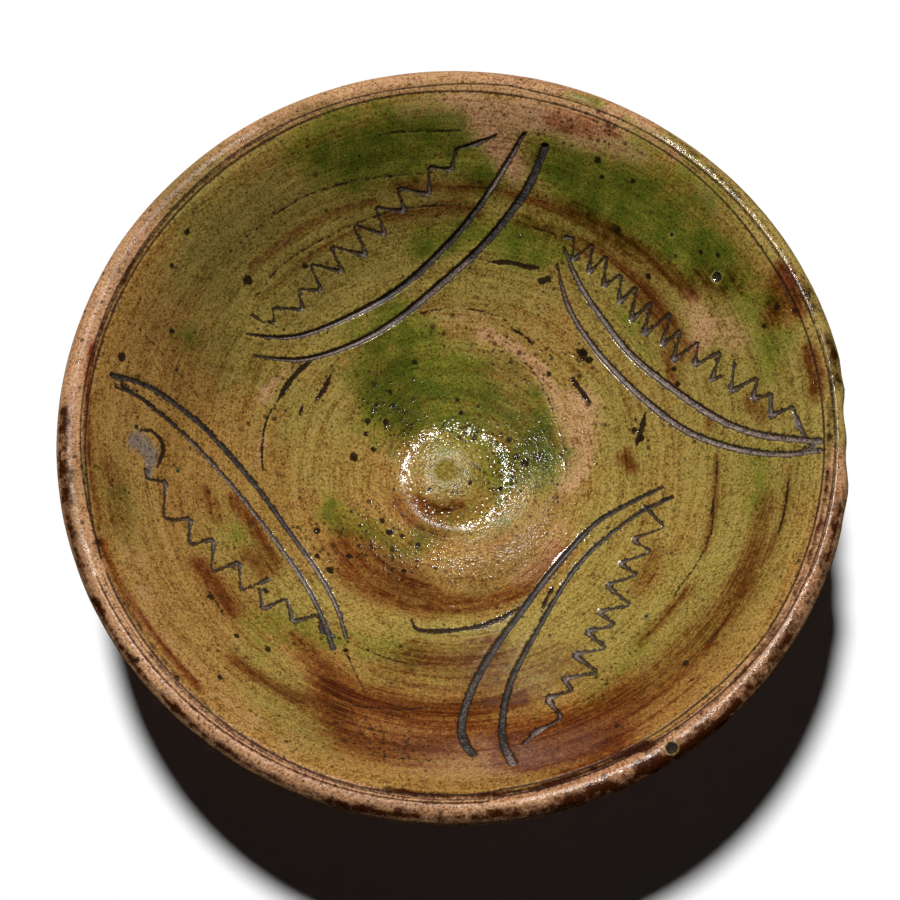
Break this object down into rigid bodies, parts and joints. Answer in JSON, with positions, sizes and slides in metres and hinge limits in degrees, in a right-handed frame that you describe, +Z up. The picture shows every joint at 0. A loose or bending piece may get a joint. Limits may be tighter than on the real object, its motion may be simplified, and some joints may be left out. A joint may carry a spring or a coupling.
{
  "type": "footed bowl",
  "caption": "Wide earthenware bowl on a ring foot, slip-coated and cut with arcs and zigzags under a green and ochre lead glaze.",
  "frame": {"origin": "on the resting plane, under the middle of the foot", "axes": "+Z up along the axis the bowl was turned about, +X to the right of the picture, +Y away from its viewer"},
  "size_m": [0.25, 0.25, 0.072],
  "materials": {
    "fired_clay": "unglazed, turned, matt",
    "foot_clay": "unglazed, turned, matt",
    "pale_slip": "brushed pale slip, cut through to the clay",
    "lead_glaze": "glossy lead glaze, ochre with copper green and iron brown"
  },
  "bodies": {
    "root": {"bowl_body": "fired_clay", "foot_ring": "foot_clay", "slip_coat": "pale_slip", "glaze_coat": "lead_glaze"}
  },
  "joints": []
}
